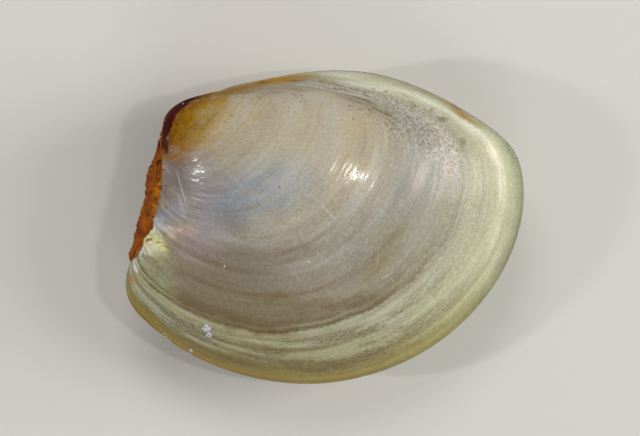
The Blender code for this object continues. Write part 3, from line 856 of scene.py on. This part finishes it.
def glossShell(tree, at, color, finish):  # dull where the skin is worn off
    look = shellFinish
    bare = patchShare(tree, at.ragged, look["barePatch"], 1.3, 0.5)
    byEdge = patchShare(tree, at.place, look["hingeEdgePatch"], 1.2, 0.6)
    dull = addNode(tree, ease, at.stage, *look["wornStages"])
    dull = addNode(tree, larger, dull, addNode(tree, multiply, bare, 0.8))
    dull = addNode(tree, larger, dull, byEdge)
    crumbled = addNode(tree, ease, at.stage, 1.35, 1.6, 0.0, 0.4)
    crumbled = addNode(tree, larger, crumbled, addNode(tree, multiply, byEdge, 0.35))
    roughness = addNode(tree, ease, dull, 0.0, 1.0, look["roughness"], look["wornRoughness"])
    tree.links.new(addNode(tree, add, roughness, crumbled), finish.inputs["Roughness"])
    coat = addNode(tree, ease, dull, 0.0, 1.0, look["coat"], look["wornCoat"])
    tree.links.new(coat, finish.inputs["Coat Weight"])
    towardsBeak = addNode(tree, ease, at.stage, 1.15, 1.35)
    tinted = addNode(tree, mix, towardsBeak, toLinear("#ffffff"), color)
    tree.links.new(tinted, finish.inputs["Specular Tint"])
    finish.inputs["IOR"].default_value = 1.53
    finish.inputs["Coat Roughness"].default_value = look["coatRoughness"]


def makeShellFinish(name, valve, seed):
    material, tree, finish = newMaterial(name)
    fades = shellFinish["fades"]
    at = shellFields(tree, seed)
    addLinePatterns(tree, at, seed)
    color = paintGrowth(tree, at, valve)
    color = paintEdge(tree, color, at.stage, at.turn, shellFinish["bellyYellow"])
    color = paintEdge(tree, color, at.wavyStage, at.turn, shellFinish["rimAmber"])
    for paint in (paintPauses, paintLines, paintFlecks, paintFreckles, paintScuffs, paintUmbo):
        color = paint(tree, at, color)
    color = paintPatches(tree, color, valve["stains"], at.nearPlace, fades["stains"])
    color = paintPatches(tree, color, valve["marks"], at.place, fades["marks"])
    tree.links.new(color, finish.inputs["Base Color"])
    raiseLines(tree, at, finish)
    glossShell(tree, at, color, finish)
    return material


def makeInnerNacre():  # mother of pearl inside the valves, white with a faint lustre
    material, tree, finish = newMaterial("innerNacre")
    cloud = addNode(tree, speckle, addNode(tree, coordinates, output="Object"), Scale=400.0, Detail=3.0)
    pearl = addNode(tree, mix, cloud, *[toLinear(shade) for shade in shellFinish["nacre"]])
    tree.links.new(pearl, finish.inputs["Base Color"])
    finish.inputs["Roughness"].default_value = 0.3
    finish.inputs["IOR"].default_value = 1.6
    return material


def pairPose(guides):  # leans the closed pair and fits it to the frame's box
    towards = math.radians(growth["leanTowardsDeg"])
    tipAxis = Vector((-math.sin(towards), math.cos(towards), 0.0))
    lean = Matrix.Rotation(math.radians(growth["leanDeg"]), 4, tipAxis)
    points = np.vstack([g.reshape(-1, 3) for g in guides]) * mm @ np.array(lean.to_3x3()).T
    low, high = Vector(points.min(axis=0)), Vector(points.max(axis=0))
    middle = (cadLow + cadHigh - low - high) / 2.0
    middle.z = cadHigh.z - high.z
    return Matrix.Translation(middle) @ lean


pose = pairPose([outerSurface(1.0, 1)[0], outerSurface(-1.0, 2)[0]])
rightBm = growValve(1.0, 1)
leftBm = growValve(-1.0, 2)
print("valves grown")


# rusty crust in the sunken area behind the beaks

crust = {
    "top": (-7.05, 5.45),
    "end": (-9.2, -1.75),
    "stations": 150,
    "columns": 65,
    "halfWidth": (1.35, 1.95),     # mm down the lower valve and up the upper one from the seam
    "narrow": 0.16,
    "arch": (0.04, 0.86),
    "gap": 0.02,
    "roundFrom": 0.90,         # share of its length where its lower end begins to narrow
    "rim": 0.03,               # mm thick at its borders
    "outerLine": [  # mm, its outermost line in the plane between the valves
        (-7.35, 5.80), (-8.12, 5.05), (-8.46, 4.05), (-8.82, 3.0), (-9.02, 2.3), (-9.02, 1.6),
        (-9.24, 0.9), (-9.38, 0.35), (-9.62, -0.6), (-9.90, -1.4),
    ],
    "grooveDepth": 0.22,
    "grooveWidth": 0.12,
    "lumps": 0.15,
    "lumpSize": 0.60,          # mm
    "flakes": 0.12,
    "flakeSize": 0.24,
    "smoothings": 4,
    "outside": 4.0,            # mm, surely clear of the shell
    "shades": [(0.34, "#5c1c08"), (0.42, "#823c0a"), (0.50, "#96500e"), (0.58, "#a55e12"), (0.68, "#b8721c")],
    "strandColor": "#c47a16",
    "creaseColor": "#3a1004",
    "pitColor": "#3c0a04",
    "bump": 0.025,             # mm
}


def surfaceTree(parts):
    joined = bmesh.new()
    for part in parts:
        guide = bpy.data.meshes.new("guide")
        part.to_mesh(guide)
        joined.from_mesh(guide)
        bpy.data.meshes.remove(guide)
    tree = BVHTree.FromBMesh(joined)
    joined.free()
    return tree


def crustLumps(point):  # mm of crumbly build-up, with flaky pits
    place = point / (crust["lumpSize"] * mm)
    lumps = noise.fractal(place, 0.7, 2.1, 3)
    flakes = abs(noise.fractal(point / (crust["flakeSize"] * mm) + Vector((5.0, 1.0, 3.0)), 0.8, 2.0, 3))
    return crust["lumps"] * lumps - crust["flakes"] * flakes


def makeCrust(valves):
    tree = surfaceTree(valves)
    top = Vector((*crust["top"], 0.0)) * mm
    end = Vector((*crust["end"], 0.0)) * mm
    down = (end - top).normalized()
    inward = Vector((-down.y, down.x, 0.0))
    bm = bmesh.new()
    crustMap = bm.loops.layers.uv.new("crustPlace")
    grid = bmesh.ops.create_grid(bm, x_segments=crust["stations"], y_segments=crust["columns"], size=1.0)
    for face in bm.faces:
        for loop in face.loops:
            loop[crustMap].uv = (0.5 * (loop.vert.co.x + 1.0), 0.5 * (loop.vert.co.y + 1.0))
    line = np.array(crust["outerLine"]) * mm
    downwards = line @ np.array(down.xy)
    outwards = -line @ np.array(inward.xy)
    thickness = {}
    for vert in grid["verts"]:
        t, s = 0.5 * (vert.co.x + 1.0), vert.co.y
        taper = max(0.0, 1.0 - (2.0 * t - 1.0) ** 16) * max(0.0, 1.0 - s * s)
        arch = math.sin(math.pi * (crust["arch"][0] + (crust["arch"][1] - crust["arch"][0]) * t))
        past = max(0.0, t - crust["roundFrom"]) / (1.0 - crust["roundFrom"])
        arch *= max(0.35, math.sqrt(1.0 - past * past))
        width = crust["halfWidth"][int(s > 0.0)] * (crust["narrow"] + (1.0 - crust["narrow"]) * arch)
        ragged = 1.0 + 0.09 * noise.fractal(Vector((t * 11.0, math.copysign(3.0, s), 0.5)), 0.7, 2.2, 3)
        start = top + (end - top) * t - inward * crust["outside"] * mm
        level = s * width * ragged * mm
        start.z = math.copysign(max(abs(level), 2.0 * growth["seam"] * mm), s)  # past the slit of the seam
        hit = tree.ray_cast(start, inward)[0]
        hit.z = level
        body = np.interp(hit.dot(down), downwards, outwards) + hit.dot(inward) - crust["rim"] * mm
        body -= crust["grooveDepth"] * mm * math.exp(-(s / crust["grooveWidth"]) ** 2)
        thickness[vert] = crust["rim"] * mm + max(0.0, body) * taper
        vert.co = hit - inward * crust["gap"] * mm
    under = {tuple(v.co): v for v in thickness}
    made = bmesh.ops.extrude_face_region(bm, geom=list(bm.faces))["geom"]
    raised = {v: under[tuple(v.co)] for v in made if isinstance(v, bmesh.types.BMVert)}
    for vert, foot in raised.items():
        vert.co -= inward * thickness[foot]
    for _ in range(crust["smoothings"]):
        bmesh.ops.smooth_vert(
            bm, verts=list(raised), factor=0.5, use_axis_x=True, use_axis_y=True, use_axis_z=True)
    for vert, foot in raised.items():
        rough = crustLumps(vert.co) * mm * min(1.0, thickness[foot] / (0.2 * mm))
        depth = max(crust["rim"] * mm, (foot.co - vert.co).dot(inward) + rough)
        vert.co = foot.co - inward * depth
    bmesh.ops.recalc_face_normals(bm, faces=bm.faces)
    settleFaces(bm)
    return bm


def makeRustCrust():  # iron oxide, matt and crumbly: burnt orange, with a brighter strand and dark red pits
    material, tree, finish = newMaterial("rustyIronCrust")
    place = addNode(tree, coordinates, output="Object")
    crustUv = addNode(tree, ("ShaderNodeUVMap", {"uv_map": "crustPlace"}))
    split = addNode(tree, separate, crustUv).node
    coarse = addNode(tree, speckle, place, Scale=1500.0, Detail=4.0, Roughness=0.62)
    strands = growthPattern(tree, crustUv, (7.0, 26.0, 1.0), Detail=3.0, Roughness=0.6, Distortion=0.6)
    fine = addNode(tree, speckle, place, Scale=9000.0, Detail=3.0, Roughness=0.65)
    halves = [addNode(tree, multiply, pattern, 0.5) for pattern in (coarse, strands)]
    mixed = addNode(tree, add, *halves)
    shades = [(where, toLinear(shade)) for where, shade in crust["shades"]]
    color = setStops(addNode(tree, colorRamp, mixed), shades)
    wavyAcross = addNode(tree, add, split.outputs["Y"], addNode(tree, multiply, coarse, 0.16))
    strand = addNode(tree, ease, wavyAcross, 1.03, 1.07)
    strand = addNode(tree, multiply, strand, between(tree, split.outputs["X"], 0.12, 0.26, 0.55, 0.70))
    color = addNode(tree, mix, addNode(tree, multiply, strand, 0.8), color, toLinear(crust["strandColor"]))
    creases = addNode(tree, absolute, addNode(tree, subtract, strands, 0.47))
    creases = addNode(tree, ease, creases, 0.012, 0.003, 0.0, 0.5)
    color = addNode(tree, mix, creases, color, toLinear(crust["creaseColor"]))
    pits = addNode(tree, ease, addNode(tree, speckle, place, Scale=2300.0, Detail=3.0), 0.37, 0.31)
    color = addNode(tree, mix, addNode(tree, multiply, pits, 0.85), color, toLinear(crust["pitColor"]))
    color = addNode(tree, tint, 1.0, color, greyShade(tree, fine, 0.3, 0.7, 0.78, 1.2))
    tree.links.new(color, finish.inputs["Base Color"])
    height = addNode(tree, add, fine, addNode(tree, multiply, strands, 1.5))
    raised = addNode(tree, bumps, Strength=1.0, Distance=crust["bump"] * mm, Height=height)
    tree.links.new(raised, finish.inputs["Normal"])
    finish.inputs["Roughness"].default_value = 0.85
    finish.inputs["Specular IOR Level"].default_value = 0.2
    return material


crustBm = makeCrust([rightBm, leftBm])
for part in (rightBm, leftBm, crustBm):
    bmesh.ops.transform(part, matrix=pose, verts=part.verts)
for vert in leftBm.verts:
    vert.co.z = max(vert.co.z, cadLow.z)  # the small flat that it rests on


# sand and crumbs of rust stuck to the shell

grains = {
    "sand": [  # middle x and y, spread, size in mm, number of grains
        (-5.92, -5.02, 0.075, 0.12, 60), (-5.77, -5.30, 0.06, 0.11, 40), (-8.0, -5.75, 0.26, 0.07, 14),
        (-6.75, -6.25, 0.08, 0.09, 9),
        (9.45, 3.75, 0.20, 0.09, 12), (9.85, 1.6, 0.50, 0.06, 14), (-0.6, -7.85, 0.70, 0.06, 8),
        (-7.02, 6.12, 0.02, 0.10, 1), (1.8, 7.8, 1.10, 0.05, 9), (8.9, 4.75, 0.15, 0.06, 6),
    ],
    "rust": [
        (-8.02, 2.9, 0.10, 0.10, 6), (-8.2, 2.0, 0.12, 0.13, 8), (-8.38, 1.35, 0.10, 0.17, 9),
        (-8.6, 0.7, 0.12, 0.10, 6), (-7.85, 2.1, 0.04, 0.10, 2), (-7.9, 1.02, 0.03, 0.09, 2),
        (-8.7, -0.5, 0.10, 0.08, 5), (-8.2, 4.6, 0.16, 0.10, 7), (-7.95, 5.4, 0.12, 0.09, 6),
    ],
    "sunk": 0.35,              # share of a grain's radius below the surface
    "uneven": 0.44,            # share of its radius
    "seamHeight": 4.4,         # mm, where grains past the outline are looked for
    "bump": 0.004,             # mm
}


def scatterGrains(tree, clusters, seed):
    dice = random.Random(seed)
    bm = bmesh.new()
    for x, y, spread, size, count in clusters:
        for _ in range(count):
            spot = Vector((dice.gauss(x, spread), dice.gauss(y, spread), 0.0)) * mm
            hit, normal = tree.ray_cast(spot + Vector((0.0, 0.0, 0.1)), Vector((0.0, 0.0, -1.0)))[:2]
            if hit is None:
                spot.z = grains["seamHeight"] * mm
                hit, normal = tree.find_nearest(spot)[:2]
            radius = 0.5 * size * dice.uniform(0.5, 1.15) * mm
            turned = Matrix.Rotation(dice.uniform(0.0, 6.28), 4, Vector((dice.random(), dice.random(), 1.0)))
            widths = [dice.uniform(0.7, 1.2), dice.uniform(0.6, 1.0), dice.uniform(0.6, 0.9)]
            flat = Matrix.Diagonal((*widths, 1.0))
            place = Matrix.Translation(hit + normal * radius * (1.0 - grains["sunk"]) * 0.7)
            shape = place @ turned @ flat
            grain = bmesh.ops.create_icosphere(bm, subdivisions=2, radius=radius, matrix=shape)
            for vert in grain["verts"]:
                bump = noise.noise(vert.co / radius * 0.8)
                vert.co += (vert.co - place.to_translation()) * grains["uneven"] * bump
    return bm


def makeGrainFinish(name, pale, deep, scale, roughness):
    material, tree, finish = newMaterial(name)
    place = addNode(tree, coordinates, output="Object")
    cloud = addNode(tree, ease, addNode(tree, speckle, place, Scale=scale, Detail=3.0), 0.35, 0.65)
    tree.links.new(addNode(tree, mix, cloud, toLinear(pale), toLinear(deep)), finish.inputs["Base Color"])
    height = addNode(tree, speckle, place, Scale=40000.0)
    raised = addNode(tree, bumps, Strength=1.0, Distance=grains["bump"] * mm, Height=height)
    tree.links.new(raised, finish.inputs["Normal"])
    finish.inputs["Roughness"].default_value = roughness
    finish.inputs["IOR"].default_value = 1.54
    return material


surface = surfaceTree([rightBm, leftBm, crustBm])
sandBm = scatterGrains(surface, grains["sand"], 5)
crumbBm = scatterGrains(surface, grains["rust"], 8)
# glassy grains, dusty white, and matt crumbs brighter than the crust
quartzSand = makeGrainFinish("quartzSand", "#dedce6", "#bfbac0", 7000.0, 0.5)
rustCrumbs = makeGrainFinish("rustCrumbs", "#b86a14", "#7a3808", 9000.0, 0.8)

nacre = makeInnerNacre()
upperFinish = makeShellFinish("hornySkinOverNacreRight", rightValve, 0.0)
underFinish = makeShellFinish("hornySkinOverNacreLeft", leftValve, 1.0)
newPiece("right_valve_shell", rightBm, [upperFinish, nacre], ["right_valve"])
newPiece("left_valve_shell", leftBm, [underFinish, nacre], ["left_valve"])
newPiece("rust_crust", crustBm, [makeRustCrust()], ["escutcheon_crust"])
newPiece("sand_grains", sandBm, [quartzSand])
newPiece("rust_crumbs", crumbBm, [rustCrumbs])


# floor, light and camera

studio = {
    "floorColor": "#d6d3cd",
    "ambient": 0.24,
    # name, degrees round from +X, degrees up, size in m, share of full light when faced, mirrored or not
    "lamps": [
        ("rightSoftbox", 6.0, 30.0, 0.16, 0.24, 0.28, True),
        ("rightFill", 6.0, 32.0, 0.16, 0.24, 0.30, False),
        ("rightLamp", -3.0, 71.0, 0.009, 0.020, 0.10, True),
        ("leftLamp", -175.0, 37.0, 0.012, 0.040, 0.18, True),
        ("topFill", 100.0, 50.0, 0.15, 0.15, 0.24, False),
        ("bottomFill", -80.0, 45.0, 0.15, 0.15, 0.14, False),
    ],
    "lampDistance": 0.3,       # m
    "lens": 250.0,             # mm
    "viewWidth": 0.032,        # m across the picture
    "aim": (-0.00025, 0.000475, 0.0044),
}


def addLamp(name, around, up, width, depth, share, mirrored):
    data = bpy.data.lights.new(name, "AREA")
    data.shape = "ELLIPSE"
    data.size, data.size_y = width, depth
    data.energy = share * (math.pi * studio["lampDistance"]) ** 2
    lamp = bpy.data.objects.new(name, data)
    lamp.visible_glossy = mirrored
    a, e = math.radians(around), math.radians(up)
    towards = Vector((math.cos(a) * math.cos(e), math.sin(a) * math.cos(e), math.sin(e)))
    lamp.location = towards * studio["lampDistance"]
    lamp.rotation_mode = "QUATERNION"
    lamp.rotation_quaternion = towards.to_track_quat("Z", "Y")
    bpy.context.collection.objects.link(lamp)


def makeFloor():
    bm = bmesh.new()
    bmesh.ops.create_grid(bm, x_segments=1, y_segments=1, size=0.4)
    mesh = bpy.data.meshes.new("floor")
    bm.to_mesh(mesh)
    bm.free()
    floor = bpy.data.objects.new("floor", mesh)
    bpy.context.collection.objects.link(floor)
    material, _, finish = newMaterial("matteFloor")
    finish.inputs["Base Color"].default_value = toLinear(studio["floorColor"])
    finish.inputs["Roughness"].default_value = 0.9
    mesh.materials.append(material)


def makeWorld():
    world = bpy.data.worlds.new("softRoom")
    world.use_nodes = True
    tree = world.node_tree
    tree.nodes["Background"].inputs["Strength"].default_value = studio["ambient"]
    tree.nodes["Background"].inputs["Color"].default_value = (1.0, 1.0, 1.0, 1.0)
    bpy.context.scene.world = world


def makeCamera():
    data = bpy.data.cameras.new("camera")
    data.lens = studio["lens"]
    data.clip_start = 0.01
    camera = bpy.data.objects.new("camera", data)
    distance = studio["viewWidth"] * studio["lens"] / data.sensor_width
    camera.location = Vector(studio["aim"]) + Vector((0.0, 0.0, distance))
    bpy.context.collection.objects.link(camera)
    bpy.context.scene.camera = camera


makeFloor()
makeWorld()
makeCamera()
for lamp in studio["lamps"]:
    addLamp(*lamp)
bpy.context.scene.view_settings.view_transform = "Standard"
print("floor, light and camera set")
